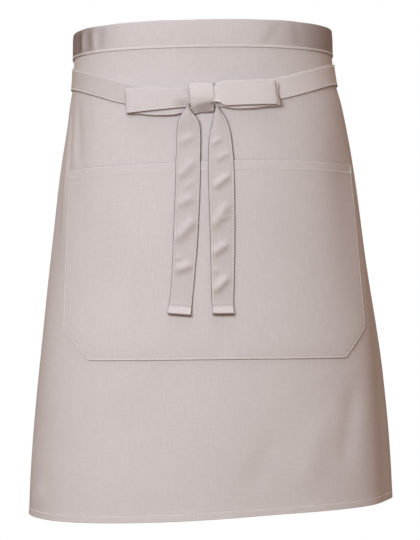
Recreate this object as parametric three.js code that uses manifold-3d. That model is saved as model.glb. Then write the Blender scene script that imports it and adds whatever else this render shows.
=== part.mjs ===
// A waist apron as it is worn: a skirt panel that wraps the hips and stays open at the back,
// a wide divided pocket, a folded waistband and two ties that cross behind and bow in front.
// Millimetres, +Z up. The front faces -Y and +X is to the right of someone facing it.
// The origin is the middle of the waist, level with the waistband's lower seam.
import * as THREE from 'three';
import Module from 'manifold-3d';

const wasm = await Module();
wasm.setup();

// The body that the apron hangs round
const WAIST_BREADTH = 306;
const WAIST_DEPTH = 217;
const HEM_BREADTH = 435;
const HEM_DEPTH = 281;
// The share of the depth that lies in front of the widest line
const FRONT_SHARE = 0.525;

// The skirt panel
const SKIRT_LENGTH = 529;
const PANEL_WIDTH = 790;
const CLOTH = 1.2;
const BOTTOM_HEM = 9;
const SIDE_HEM = 8;
const HEM_EXTRA = 0.9;

// The waistband
const BAND_HEIGHT = 32;

// The pocket, with its two lower corners cut off
const POCKET_WIDTH = 382;
const POCKET_HEIGHT = 223;
const POCKET_DROP = 129;
const POCKET_HEM = 11;
const CORNER_WIDTH = 38;
const CORNER_HEIGHT = 35;

// The ties and their bow
const TIE_WIDTH = 27;
const TIE_THICKNESS = 1.5;
const ROOT_LAP = 14;
const KNOT_OFFSET = -16;
const KNOT_DROP = 58.5;
const KNOT_HEIGHT = 33;
const LOOP_REACH = 84.5;
const TAIL_LENGTH = 244;

// Sewn or stacked layers keep GAP between them, and a tie lies LIFT off what it rests on
const GAP = 0.3;
const LIFT = 0.5;

// Mesh pitch: along the panel, down the panel and along a tie
const COLUMN = 16;
const ROW = 40;
const STEP = 9;

// The worn form, from above the waistband to below the hem. drop: share of the skirt's length.
// spread: 0 is the waist's size and 1 the hem's. shift, tilt and sag: shares of the waist's
// half breadth, for the way the apron has settled. square: 2 is an ellipse.
const FORM = [
  { drop: -0.075, spread: -0.023, shift: -0.058, tilt: 0.021, sag: 0.012, square: 2.25 },
  { drop: 0, spread: 0, shift: -0.055, tilt: 0.017, sag: 0.003, square: 2.25 },
  { drop: 0.057, spread: 0.043, shift: -0.045, tilt: 0.019, sag: 0.006, square: 2.2 },
  { drop: 0.113, spread: 0.151, shift: -0.036, tilt: 0.022, sag: 0.013, square: 2.2 },
  { drop: 0.227, spread: 0.326, shift: -0.026, tilt: 0.029, sag: 0.026, square: 2.15 },
  { drop: 0.416, spread: 0.539, shift: -0.003, tilt: 0.019, sag: 0.026, square: 2.1 },
  { drop: 0.643, spread: 0.78, shift: 0.017, tilt: 0.006, sag: 0.026, square: 2.1 },
  { drop: 0.794, spread: 0.904, shift: 0.018, tilt: 0.014, sag: 0.026, square: 2.1 },
  { drop: 0.907, spread: 0.97, shift: 0.017, tilt: 0.02, sag: 0.026, square: 2.1 },
  { drop: 1, spread: 1, shift: 0.018, tilt: 0.023, sag: 0.026, square: 2.1 },
  { drop: 1.06, spread: 1.01, shift: 0.018, tilt: 0.023, sag: 0.026, square: 2.1 },
];

// Vertical hollows in the hanging cloth. at: share of half the panel's width from the front
// centre. wide: the same share. from and to: drops where it starts and is deepest, as shares
// of the skirt's length. end: where it has faded out. deep: share of the waist's half depth.
const HOLLOWS = [
  { at: -0.445, wide: 0.05, from: 0.06, to: 0.17, end: 0.42, deep: 0.028 },
  { at: -0.56, wide: 0.06, from: 0.07, to: 0.2, end: 0.62, deep: 0.04 },
  { at: 0.43, wide: 0.085, from: 0.08, to: 0.3, end: 0.8, deep: 0.04 },
  { at: 0.6, wide: 0.08, from: 0.1, to: 0.7, end: 1.6, deep: 0.06 },
  { at: -0.89, wide: 0.08, from: 0.2, to: 0.9, end: 1.9, deep: 0.08 },
  { at: 0.84, wide: 0.08, from: 0.2, to: 0.95, end: 1.9, deep: 0.08 },
  { at: 0.16, wide: 0.12, from: 0.6, to: 1, end: 1.8, deep: 0.035 },
  { at: -0.26, wide: 0.12, from: 0.68, to: 1, end: 1.8, deep: 0.03 },
];

// How a tie runs round the waist. around: share of the way from the knot (0) to the middle of
// the back (1). left and right: how far below the seam the middle of the left and the right
// tie lies there, as shares of the knot's drop. wide: share of the tie's width.
const RUN = [
  { around: 0.8, left: 0.33, right: 0.33, wide: 1 },
  { around: 0.65, left: 0.335, right: 0.335, wide: 1 },
  { around: 0.5, left: 0.38, right: 0.38, wide: 0.98 },
  { around: 0.4, left: 0.475, right: 0.45, wide: 0.93 },
  { around: 0.3, left: 0.655, right: 0.63, wide: 0.92 },
  { around: 0.24, left: 0.765, right: 0.75, wide: 0.92 },
  { around: 0.136, left: 0.93, right: 0.92, wide: 0.9 },
  { around: 0.07, left: 0.97, right: 1.04, wide: 0.7 },
];

// Each tie crosses the knot squeezed narrow. aside: share of the tie's width towards the side
// that it goes on to. rise: the same share above the knot's middle. wide: the same share.
const CROSSING = {
  left: [
    { aside: -0.22, rise: 0.25, wide: 0.42 },
    { aside: 0.22, rise: 0.27, wide: 0.42 },
  ],
  right: [
    { aside: -0.22, rise: -0.27, wide: 0.42 },
    { aside: 0.22, rise: -0.25, wide: 0.42 },
  ],
};

// A loop of the bow, out along its back leaf, round its fold and back along its front leaf.
// out: share of the loop's reach. rise: share of the tie's width above the knot's middle.
// ply: tie thicknesses above the one that lies on the cloth. wide: share of the tie's width.
const LOOPS = {
  right: [
    { out: 0.19, rise: 0.2, ply: 1.5, wide: 0.6 },
    { out: 0.34, rise: 0.1, ply: 1.8, wide: 0.94 },
    { out: 0.6, rise: 0.08, ply: 2, wide: 1 },
    { out: 0.86, rise: 0.14, ply: 2, wide: 1 },
    { out: 0.98, rise: 0.18, ply: 2.2, wide: 1 },
    { out: 1, rise: 0.18, ply: 2.7, wide: 1 },
    { out: 0.97, rise: 0.18, ply: 3.6, wide: 1.02 },
    { out: 0.86, rise: 0.18, ply: 4.2, wide: 1.03 },
    { out: 0.6, rise: 0.17, ply: 4.5, wide: 1.05 },
    { out: 0.34, rise: 0.15, ply: 4.6, wide: 1.06 },
    { out: 0.2, rise: 0.13, ply: 4, wide: 0.98 },
    { out: 0.1, rise: 0.1, ply: 2.5, wide: 0.84 },
    { out: 0.03, rise: 0.08, ply: 2.1, wide: 0.8 },
  ],
  left: [
    { out: 0.19, rise: -0.24, ply: 1.5, wide: 0.6 },
    { out: 0.34, rise: -0.2, ply: 1.8, wide: 0.94 },
    { out: 0.6, rise: -0.17, ply: 2, wide: 1 },
    { out: 0.86, rise: -0.04, ply: 2, wide: 1.05 },
    { out: 0.98, rise: 0.01, ply: 2.2, wide: 1.09 },
    { out: 1, rise: 0.01, ply: 2.7, wide: 1.1 },
    { out: 0.97, rise: 0.01, ply: 3.6, wide: 1.1 },
    { out: 0.86, rise: 0.02, ply: 4.2, wide: 1.08 },
    { out: 0.6, rise: 0.04, ply: 4.3, wide: 1.02 },
    { out: 0.34, rise: 0.04, ply: 3.3, wide: 0.92 },
    { out: 0.17, rise: 0.03, ply: 2.3, wide: 0.84 },
    { out: 0.03, rise: 0.03, ply: 2.1, wide: 0.8 },
  ],
};

// The hanging tails. down: share of the tail's length below the knot's middle. aside: share
// of the tie's width from the knot's middle. ply: tie thicknesses above the one that lies on
// the pocket. wide: share of the tie's width.
const TAILS = {
  right: [
    { down: 0.04, aside: -0.46, ply: 1.5, wide: 0.3 },
    { down: 0.072, aside: -0.62, ply: 2, wide: 0.5 },
    { down: 0.103, aside: -0.66, ply: 1.5, wide: 0.85 },
    { down: 0.16, aside: -0.68, ply: 0.5, wide: 0.97 },
    { down: 0.24, aside: -0.71, ply: 0, wide: 1 },
    { down: 0.37, aside: -0.75, ply: 0, wide: 1.03 },
    { down: 0.656, aside: -0.88, ply: 0, wide: 1 },
    { down: 0.844, aside: -0.99, ply: 0, wide: 0.93 },
    { down: 1, aside: -1.15, ply: 0, wide: 0.95 },
  ],
  left: [
    { down: 0.036, aside: 0.5, ply: 0.7, wide: 0.28 },
    { down: 0.061, aside: 0.66, ply: 0.6, wide: 0.4 },
    { down: 0.09, aside: 0.66, ply: 0.5, wide: 0.54 },
    { down: 0.142, aside: 0.65, ply: 0.3, wide: 0.78 },
    { down: 0.193, aside: 0.66, ply: 0.1, wide: 0.92 },
    { down: 0.377, aside: 0.63, ply: 0, wide: 1.1 },
    { down: 0.656, aside: 0.61, ply: 0, wide: 1.02 },
    { down: 0.893, aside: 0.6, ply: 0, wide: 0.96 },
    { down: 1, aside: 0.63, ply: 0, wide: 0.9 },
  ],
};

// The strip that wraps the knot, a closed ring. rise: share of the knot's height above its
// middle. aside and wide: shares of the tie's width. ply: as for the loops.
const WRAP = [
  { rise: 0.5, aside: 0, ply: 2, wide: 1 },
  { rise: 0.46, aside: 0, ply: 3.6, wide: 1 },
  { rise: 0.3, aside: 0, ply: 4.2, wide: 1 },
  { rise: 0.06, aside: 0, ply: 4.2, wide: 1 },
  { rise: -0.16, aside: 0.03, ply: 3.7, wide: 0.95 },
  { rise: -0.38, aside: 0.08, ply: 2.7, wide: 0.84 },
  { rise: -0.48, aside: 0.1, ply: 1.6, wide: 0.78 },
  { rise: -0.44, aside: 0.1, ply: 0.4, wide: 0.78 },
  { rise: -0.25, aside: 0.06, ply: 0, wide: 0.82 },
  { rise: 0, aside: 0, ply: 0, wide: 0.9 },
  { rise: 0.25, aside: 0, ply: 0, wide: 0.94 },
  { rise: 0.45, aside: 0, ply: 0.4, wide: 1 },
];

// Two plies of one strap that are one piece in the knot lie this share of a thickness apart
const FUSED = 0.94;
// A tail starts under its loop's front leaf, this share of the tie's width past the knot's middle
const TAIL_SEAM = 0.25;
// A strap's direction is read over this far each way
const LOOK = STEP / 18;
// Steps to half a turn when a girth is measured
const ARC_STEPS = 180;
const HALF_WAIST = WAIST_BREADTH / 2;
const HALF_PANEL = PANEL_WIDTH / 2;
const BAND_FACE = 2 * CLOTH + GAP;
const POCKET_FACE = 2 * CLOTH + GAP + HEM_EXTRA;
const PLY = TIE_THICKNESS + GAP;

// A smooth value through the rows of a table, read at key = t
function along(rows, key, column, t) {
  const last = rows.length - 1;
  const x = Math.min(Math.max(t, rows[0][key]), rows[last][key]);
  let i = 0;
  while (i < last - 1 && x > rows[i + 1][key]) i += 1;
  const slope = (k) => {
    const before = rows[Math.max(k - 1, 0)];
    const after = rows[Math.min(k + 1, last)];
    return (after[column] - before[column]) / (after[key] - before[key]);
  };
  const h = rows[i + 1][key] - rows[i][key];
  const s = (x - rows[i][key]) / h;
  const from = (2 * s + 1) * (1 - s) ** 2 * rows[i][column];
  const to = s * s * (3 - 2 * s) * rows[i + 1][column];
  return from + to + h * s * (1 - s) * ((1 - s) * slope(i) - s * slope(i + 1));
}

// A point of the worn form at a polar angle from the front and a height
function formPoint(angle, z) {
  const drop = -z / SKIRT_LENGTH;
  const read = (column) => along(FORM, 'drop', column, drop);
  const grow = (waist, hem) => waist + read('spread') * (hem - waist);
  const side = Math.sin(angle);
  const front = Math.cos(angle);
  const depth = grow(WAIST_DEPTH, HEM_DEPTH) * (front > 0 ? FRONT_SHARE : 1 - FRONT_SHARE);
  const across = Math.abs(side / (grow(WAIST_BREADTH, HEM_BREADTH) / 2));
  const power = read('square');
  const reach = (across ** power + Math.abs(front / depth) ** power) ** (-1 / power);
  const settle = read('tilt') * side - read('sag') * (1 - front);
  return new THREE.Vector3(
    read('shift') * HALF_WAIST + reach * side,
    -reach * front,
    z + settle * HALF_WAIST,
  );
}

// The girth at a height, as a table of arc length from the front centre against angle
const girths = new Map();
function girth(z) {
  if (!girths.has(z)) {
    const rows = [{ arc: 0, angle: -Math.PI }];
    let before = formPoint(-Math.PI, z);
    for (let i = 1; i <= 2 * ARC_STEPS; i += 1) {
      const angle = -Math.PI + (i * Math.PI) / ARC_STEPS;
      const here = formPoint(angle, z);
      const run = Math.hypot(here.x - before.x, here.y - before.y);
      rows.push({ arc: rows[i - 1].arc + run, angle });
      before = here;
    }
    const front = rows[ARC_STEPS].arc;
    const full = rows[2 * ARC_STEPS].arc;
    girths.set(z, { rows: rows.map((row) => ({ ...row, arc: row.arc - front })), full });
  }
  return girths.get(z);
}

function angleAt(arc, z) {
  const { rows, full } = girth(z);
  const turns = Math.floor((arc - rows[0].arc) / full);
  const x = arc - turns * full;
  let low = 0;
  let high = rows.length - 1;
  while (high - low > 1) {
    const mid = (low + high) >> 1;
    if (rows[mid].arc > x) high = mid;
    else low = mid;
  }
  const s = (x - rows[low].arc) / (rows[high].arc - rows[low].arc);
  return rows[low].angle + s * (rows[high].angle - rows[low].angle) + turns * 2 * Math.PI;
}

function smooth(edge0, edge1, x) {
  const t = Math.min(Math.max((x - edge0) / (edge1 - edge0), 0), 1);
  return t * t * (3 - 2 * t);
}

// How far the cloth hangs inside the form
function hollow(arc, z) {
  const drop = -z / SKIRT_LENGTH;
  return HOLLOWS.reduce((sum, h) => {
    const off = (arc / HALF_PANEL - h.at) / h.wide;
    const strength = smooth(h.from, h.to, drop) * (1 - smooth(h.to, h.end, drop));
    return sum - h.deep * (WAIST_DEPTH / 2) * strength * Math.exp(-off * off);
  }, 0);
}

// A point that lies an arc from the front centre, at a height, a distance out from the form
function place(arc, z, out, settled = true) {
  const angle = angleAt(arc, z);
  const turn = 0.002;
  const fall = 1;
  const round = formPoint(angle + turn, z).sub(formPoint(angle - turn, z));
  const up = formPoint(angle, z + fall).sub(formPoint(angle, z - fall));
  const outward = round.cross(up).normalize();
  const inset = settled ? hollow(arc, z) : 0;
  return formPoint(angle, z).addScaledVector(outward, out + inset);
}

// A closed solid through rings of points. outline is the ring's flat shape, for its two end
// faces, and a ring sweep with no outline closes on itself.
function ringSolid(rings, outline) {
  const size = rings[0].length;
  const faces = [];
  const bands = outline ? rings.length - 1 : rings.length;
  for (let r = 0; r < bands; r += 1) {
    const next = (r + 1) % rings.length;
    for (let k = 0; k < size; k += 1) {
      const turn = (k + 1) % size;
      const [a, b] = [r * size + k, r * size + turn];
      const [c, d] = [next * size + turn, next * size + k];
      // Layers that lie on each other split their faces along the same diagonals
      const rises = !outline || outline[turn].y >= outline[k].y;
      faces.push(...(rises ? [[a, b, c], [a, c, d]] : [[a, b, d], [b, c, d]]));
    }
  }
  if (outline) {
    const end = (rings.length - 1) * size;
    const forward = THREE.ShapeUtils.isClockWise(outline) ? -1 : 1;
    THREE.ShapeUtils.triangulateShape(outline, []).forEach((face) => {
      const [a, b, c] = forward > 0 ? face : [...face].reverse();
      faces.push([a, c, b], [end + a, end + b, end + c]);
    });
  }
  const points = rings.flat();
  const volume = faces.reduce((sum, [a, b, c]) => (
    sum + points[a].dot(new THREE.Vector3().crossVectors(points[b], points[c]))), 0);
  const outward = volume > 0 ? faces : faces.map(([a, b, c]) => [a, c, b]);
  return new wasm.Manifold(new wasm.Mesh({
    numProp: 3,
    vertProperties: new Float32Array(points.flatMap((p) => [p.x, p.y, p.z])),
    triVerts: new Uint32Array(outward.flat()),
  }));
}

// Evenly spaced values from one end to the other, no further apart than the pitch
function spaced(from, to, pitch) {
  const count = Math.ceil(Math.abs(to - from) / pitch);
  return Array.from({ length: count + 1 }, (_, i) => from + (i * (to - from)) / count);
}

// Cloth that lies on the form: its upright section, as [height, out] pairs, at each arc
function wrapped(arcs, section) {
  const rings = arcs.map((arc) => section(arc).map(([z, out]) => place(arc, z, out)));
  return ringSolid(rings, section(arcs[0]).map(([z, out]) => new THREE.Vector2(out, z)));
}

const STRAP_CORNERS = [[1, 1], [-1, 1], [-1, -1], [1, -1]];

// A flat strap along stations of { arc, z, out, wide }. across is the direction of its width
// in those coordinates, and spare widens and thickens it by a clearance.
function strap(stations, across, spare = 0, closed = false) {
  let run = 0;
  const rows = stations.map((s, i) => {
    const before = stations[Math.max(i - 1, 0)];
    run += Math.hypot(s.arc - before.arc, s.z - before.z, s.out - before.out);
    return { ...s, run };
  });
  const at = (t) => ['arc', 'z', 'out'].map((column) => along(rows, 'run', column, t));
  const steps = rows.slice(1).flatMap((row, i) => spaced(rows[i].run, row.run, STEP).slice(0, -1));
  if (!closed) steps.push(run);
  const half = TIE_THICKNESS / 2 + spare;
  const rings = steps.map((t) => {
    const middle = new THREE.Vector3(...at(t));
    const ahead = new THREE.Vector3(...at(Math.min(t + LOOK, run)));
    const behind = new THREE.Vector3(...at(Math.max(t - LOOK, 0)));
    const travel = ahead.sub(behind).normalize();
    const width = across.clone().addScaledVector(travel, -across.dot(travel)).normalize();
    const face = new THREE.Vector3().crossVectors(width, travel);
    const reach = along(rows, 'run', 'wide', t) / 2 + spare;
    return STRAP_CORNERS.map(([w, f]) => {
      const p = middle.clone().addScaledVector(width, w * reach).addScaledVector(face, f * half);
      return place(p.x, p.y, p.z, false);
    });
  });
  return ringSolid(rings, closed ? null : STRAP_CORNERS.map((xy) => new THREE.Vector2(...xy)));
}

// The ply that lies on the cloth has its middle here, and each higher one PLY further out
const plyOut = (ply) => CLOTH + GAP + TIE_THICKNESS / 2 + ply * PLY;
const ALONG_ARC = new THREE.Vector3(1, 0, 0);
const UPRIGHT = new THREE.Vector3(0, 1, 0);

// Stations of a tie from its sewn root behind, round the waist, across the knot and through
// its loop. side is -1 for the left tie, whose run shows on the left and whose loop is right.
function tieStations(name, side) {
  const width = TIE_WIDTH;
  const rootHeight = BAND_HEIGHT / 2;
  const girthLength = girth(rootHeight).full;
  const passing = -RUN[0][name] * KNOT_DROP;
  const over = side < 0 ? PLY + LIFT : 0;
  const resting = CLOTH + LIFT + TIE_THICKNESS / 2;
  const rootOut = BAND_FACE + GAP + TIE_THICKNESS / 2;
  const rootArc = side * (girthLength - HALF_PANEL);
  const back = [
    { arc: rootArc + side * ROOT_LAP, z: rootHeight, out: rootOut, wide: width },
    { arc: rootArc, z: rootHeight, out: rootOut, wide: width },
    { arc: (side * girthLength) / 2, z: 0, out: resting + over, wide: width },
    { arc: side * HALF_PANEL, z: passing, out: resting, wide: width },
  ];
  const half = girthLength / 2;
  const run = RUN.map((row) => ({
    arc: KNOT_OFFSET + row.around * (side * half - KNOT_OFFSET),
    z: -row[name] * KNOT_DROP,
    out: resting,
    wide: row.wide * width,
  }));
  const knotOut = plyOut(0) + (side < 0 ? FUSED * TIE_THICKNESS : PLY);
  const crossing = CROSSING[name].map((row) => ({
    arc: KNOT_OFFSET - side * row.aside * width,
    z: -KNOT_DROP + row.rise * width,
    out: knotOut,
    wide: row.wide * width,
  }));
  const loop = LOOPS[side < 0 ? 'right' : 'left'].map((row) => ({
    arc: KNOT_OFFSET - side * row.out * LOOP_REACH,
    z: -KNOT_DROP + row.rise * width,
    out: plyOut(row.ply),
    wide: row.wide * width,
  }));
  return [...back, ...run, ...crossing, ...loop];
}

// Stations of a tie's hanging tail, from where it is sewn under the loop's front leaf
function tailStations(name, side) {
  const leaf = LOOPS[side < 0 ? 'right' : 'left'].at(-1);
  const resting = POCKET_FACE + LIFT + TIE_THICKNESS / 2;
  const root = {
    arc: KNOT_OFFSET - side * TAIL_SEAM * TIE_WIDTH,
    z: -KNOT_DROP,
    out: plyOut(leaf.ply) + (side < 0 ? 0 : FUSED * TIE_THICKNESS),
    wide: TAILS[name][0].wide * TIE_WIDTH,
  };
  return [root, ...TAILS[name].map((row) => ({
    arc: KNOT_OFFSET + row.aside * TIE_WIDTH,
    z: -KNOT_DROP - row.down * TAIL_LENGTH,
    out: resting + row.ply * PLY,
    wide: row.wide * TIE_WIDTH,
  }))];
}

function wrapStations() {
  return [...WRAP, WRAP[0]].map((row) => ({
    arc: KNOT_OFFSET + row.aside * TIE_WIDTH,
    z: -KNOT_DROP + row.rise * KNOT_HEIGHT,
    out: plyOut(row.ply),
    wide: row.wide * TIE_WIDTH,
  }));
}

function tie(name, side, spare = 0) {
  return strap(tieStations(name, side), UPRIGHT, spare)
    .add(strap(tailStations(name, side), ALONG_ARC, spare));
}

// The arcs of the panel's upright mesh lines and the heights of its level ones. Layers that
// lie on it share them.
function panelArcs() {
  const hem = HALF_PANEL - SIDE_HEM;
  const pocketEdge = POCKET_WIDTH / 2;
  const beside = spaced(pocketEdge, hem - HEM_EXTRA, COLUMN).slice(1);
  const right = [...beside, hem, HALF_PANEL];
  return [
    ...right.map((arc) => -arc).reverse(),
    ...spaced(-pocketEdge, pocketEdge, COLUMN),
    ...right,
  ];
}

function panelHeights() {
  const hem = BOTTOM_HEM - SKIRT_LENGTH;
  const pocketHem = -POCKET_DROP - POCKET_HEM;
  return [
    -SKIRT_LENGTH,
    hem,
    ...spaced(hem + HEM_EXTRA, -POCKET_DROP - POCKET_HEIGHT, ROW),
    ...spaced(-POCKET_DROP - POCKET_HEIGHT, pocketHem - HEM_EXTRA, ROW).slice(1),
    pocketHem,
    ...spaced(-POCKET_DROP, -HEM_EXTRA, ROW),
    0,
  ];
}

// The skirt panel, thicker inside along its bottom and side hems
function skirtPanel() {
  const heights = [...panelHeights(), BAND_HEIGHT - CLOTH - GAP];
  const hemTop = BOTTOM_HEM - SKIRT_LENGTH;
  return wrapped(panelArcs(), (arc) => {
    const sideHem = Math.abs(arc) >= HALF_PANEL - SIDE_HEM;
    const folded = (z) => z <= hemTop || (sideHem && z < 0);
    const inner = heights.map((z) => [z, folded(z) ? -HEM_EXTRA : 0]);
    return [...heights.map((z) => [z, CLOTH]), ...inner.reverse()];
  });
}

// The waistband, folded over the panel's top edge
function waistband() {
  const outer = BAND_FACE;
  const inner = -GAP - CLOTH;
  const roof = BAND_HEIGHT - CLOTH;
  const ease = CLOTH / 2;
  const section = [
    [0, outer], [BAND_HEIGHT - ease, outer], [BAND_HEIGHT, outer - ease],
    [BAND_HEIGHT, inner + ease], [BAND_HEIGHT - ease, inner], [0, inner],
    [0, -GAP], [roof, -GAP], [roof, CLOTH + GAP], [0, CLOTH + GAP],
  ];
  return wrapped(panelArcs(), () => section);
}

// The pocket, a patch with a turned top hem and two cut corners
function pocket() {
  const half = POCKET_WIDTH / 2;
  const straight = half - CORNER_WIDTH;
  const top = -POCKET_DROP;
  const low = top - POCKET_HEIGHT;
  const hem = top - POCKET_HEM;
  const back = CLOTH + GAP;
  const arcs = panelArcs().filter((arc) => Math.abs(arc) <= half);
  const heights = panelHeights().filter((z) => z >= low && z <= top);
  const patch = wrapped(arcs, () => [
    ...heights.map((z) => [z, z < hem ? back + CLOTH : POCKET_FACE]),
    ...[...heights].reverse().map((z) => [z, back]),
  ]);
  // Each corner is cut along a line that runs on past the two edges it joins, and through the
  // patch by enough for its curve
  const past = 0.3;
  const through = CORNER_WIDTH / 3;
  const line = (share) => [straight + share * CORNER_WIDTH, low + share * CORNER_HEIGHT];
  return [-1, 1].reduce((solid, side) => {
    const outline = [line(-past), [half + CORNER_WIDTH, low - CORNER_HEIGHT], line(1 + past)];
    const wedge = [back - through, POCKET_FACE + through].map((out) => (
      outline.map(([arc, z]) => place(side * arc, z, out))));
    return solid.subtract(ringSolid(wedge, outline.map(([x, y]) => new THREE.Vector2(x, y))));
  }, patch);
}

const TWILL = { color: 0xcfc3c0, roughness: 0.86, metalness: 0 };

function meshOf(name, solid) {
  const { vertProperties, triVerts } = solid.getMesh();
  const geometry = new THREE.BufferGeometry();
  geometry.setAttribute('position', new THREE.BufferAttribute(vertProperties, 3));
  geometry.setIndex(new THREE.BufferAttribute(triVerts, 1));
  geometry.computeVertexNormals();
  const mesh = new THREE.Mesh(geometry, new THREE.MeshStandardMaterial(TWILL));
  mesh.name = name;
  return mesh;
}

const rightTie = tie('right', 1);
const leftTie = tie('left', -1)
  .add(strap(wrapStations(), ALONG_ARC, 0, true))
  .subtract(tie('right', 1, GAP));

const apron = new THREE.Group();
apron.add(
  meshOf('skirt_panel', skirtPanel()),
  meshOf('waistband', waistband()),
  meshOf('pocket', pocket()),
  meshOf('left_tie', leftTie),
  meshOf('right_tie', rightTie),
);

export default apron;
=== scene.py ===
"""A baker's waist apron as it hangs when worn: a long wrapped skirt, a wide divided pocket, a
folded waistband and two ties that cross behind and bow in front.

Metres, +Z up, and the front faces -Y. A place on the cloth is an arc, how far round it lies
from the front centre, a height z, and out, how far it lies off the form that the apron hangs on.
"""
import math

import bmesh
import bpy
import numpy as np
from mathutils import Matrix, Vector


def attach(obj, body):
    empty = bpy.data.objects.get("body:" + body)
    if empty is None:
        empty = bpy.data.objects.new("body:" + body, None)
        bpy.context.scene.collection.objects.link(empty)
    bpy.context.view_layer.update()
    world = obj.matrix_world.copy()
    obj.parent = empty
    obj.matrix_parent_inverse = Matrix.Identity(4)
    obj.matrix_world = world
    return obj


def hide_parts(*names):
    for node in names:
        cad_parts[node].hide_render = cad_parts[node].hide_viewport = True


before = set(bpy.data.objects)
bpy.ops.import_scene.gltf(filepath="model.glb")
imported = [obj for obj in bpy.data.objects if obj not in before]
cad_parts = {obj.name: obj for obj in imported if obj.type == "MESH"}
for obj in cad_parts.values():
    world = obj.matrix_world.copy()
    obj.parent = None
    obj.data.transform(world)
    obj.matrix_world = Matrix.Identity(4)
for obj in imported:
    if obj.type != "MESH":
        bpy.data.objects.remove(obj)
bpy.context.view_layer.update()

MM = 0.001

# The body that the apron hangs round
WAIST_BREADTH = 306 * MM
WAIST_DEPTH = 217 * MM
HEM_BREADTH = 435 * MM
HEM_DEPTH = 281 * MM
FRONT_SHARE = 0.525

# The skirt panel and its hems
SKIRT_LENGTH = 529 * MM
PANEL_WIDTH = 790 * MM
CLOTH = 1.2 * MM
BOTTOM_HEM = 9 * MM
SIDE_HEM = 8 * MM
HEM_EXTRA = 0.9 * MM

BAND_HEIGHT = 32 * MM

# The pocket, with its two lower corners cut off
POCKET_WIDTH = 382 * MM
POCKET_HEIGHT = 223 * MM
POCKET_DROP = 129 * MM
POCKET_HEM = 11 * MM
CORNER_WIDTH = 38 * MM
CORNER_HEIGHT = 35 * MM
DIVIDER_ARC = 5 * MM

# The ties and their bow
TIE_WIDTH = 27 * MM
TIE_THICKNESS = 1.5 * MM
ROOT_LAP = 14 * MM
KNOT_OFFSET = -16 * MM
KNOT_DROP = 58.5 * MM
KNOT_HEIGHT = 33 * MM
LOOP_REACH = 84.5 * MM
TAIL_LENGTH = 244 * MM
TAIL_SEAM = 0.25
TAIL_HEM = 11 * MM

# Sewn or stacked layers keep GAP between them, and a tie lies LIFT off what it rests on
GAP = 0.3 * MM
LIFT = 0.5 * MM
FUSED = 0.94

HALF_WAIST = WAIST_BREADTH / 2
HALF_PANEL = PANEL_WIDTH / 2
HALF_POCKET = POCKET_WIDTH / 2
BAND_FACE = 2 * CLOTH + GAP
POCKET_FACE = 2 * CLOTH + GAP + HEM_EXTRA
PLY = TIE_THICKNESS + GAP

# Sewing: a row lies INSET from an edge, and its threads are this long, this far apart and thick
INSET = 1.6 * MM
TIE_INSET = 2.3 * MM
POCKET_TURN = 0.4 * MM
THREAD_LENGTH = 2.5 * MM
THREAD_PITCH = 3.4 * MM
THREAD_RADIUS = 0.38 * MM

# How far the threads sink into the cloth's face, and how far a row's groove reaches to each side
SUNK = 0.05 * MM
GROOVE_REACH = 0.8 * MM

# How high a seam ripples: a plain one, and one through several layers
PUCKER = 0.12 * MM
THICK_PUCKER = 0.16 * MM

# Cloth is paler near an edge, partly worn and partly painted highlight, and painted shade darkens its
# very rim: how far in each reaches
PALE_EDGE_REACH = 1.4 * MM
RIM_REACH = 0.5 * MM

# The pocket: how far it lies off the skirt beyond GAP, and how thick its turned edges stand
POCKET_EASE = 0.12 * MM
POCKET_FOLD = 0.35 * MM


def table(columns, *rows):
    """Rows of numbers under named columns."""
    return {name: np.array(values, float) for name, values in zip(columns.split(), zip(*rows))}


# The worn form. drop: share of the skirt's length. spread: 0 is the waist and 1 the hem.
# shift, tilt, sag, turn: shares of the waist's half breadth. square: 2 is an ellipse.
FORM = table(
    "drop spread shift tilt sag square turn",
    (-0.075, -0.023, -0.058, 0.021, 0.012, 2.25, 0),
    (0, 0, -0.055, 0.017, 0.003, 2.25, 0),
    (0.057, 0.043, -0.045, 0.019, 0.006, 2.2, 0),
    (0.113, 0.151, -0.036, 0.022, 0.013, 2.2, 0.004),
    (0.227, 0.326, -0.026, 0.029, 0.026, 2.15, 0.004),
    (0.416, 0.539, -0.003, 0.019, 0.026, 2.1, -0.01),
    (0.643, 0.78, 0.017, 0.006, 0.026, 2.1, -0.028),
    (0.794, 0.904, 0.018, 0.02, 0.026, 2.1, -0.028),
    (0.907, 0.97, 0.017, 0.038, 0.026, 2.1, -0.025),
    (1, 1, 0.018, 0.052, 0.026, 2.1, -0.025),
    (1.06, 1.01, 0.018, 0.052, 0.026, 2.1, -0.025),
)

# Long hollows in the hanging cloth. at, wide: shares of half the panel. start, full, end:
# shares of the skirt's length. deep: share of the waist's half depth.
HOLLOWS = table(
    "at wide start full end deep",
    (-0.445, 0.05, 0.06, 0.17, 0.42, 0.028),
    (-0.56, 0.06, 0.07, 0.2, 0.62, 0.04),
    (0.43, 0.085, 0.08, 0.3, 0.8, 0.04),
    (0.6, 0.08, 0.1, 0.7, 1.6, 0.06),
    (-0.89, 0.08, 0.2, 0.9, 1.9, 0.08),
    (0.84, 0.08, 0.2, 0.95, 1.9, 0.08),
    (0.16, 0.12, 0.6, 1, 1.8, 0.035),
    (-0.26, 0.12, 0.68, 1, 1.8, 0.03),
)

# How a tie runs round the waist. around: share of the way from the knot to the middle of the
# back. left, right: how far below the seam, as shares of the knot's drop. wide: of its width.
RUN = table(
    "around left right wide",
    (0.8, 0.33, 0.33, 1),
    (0.65, 0.335, 0.335, 1),
    (0.5, 0.38, 0.38, 0.98),
    (0.4, 0.475, 0.45, 0.93),
    (0.3, 0.655, 0.63, 0.92),
    (0.24, 0.785, 0.75, 0.92),
    (0.136, 0.96, 0.92, 0.9),
    (0.07, 0.97, 1.04, 0.7),
)

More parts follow.
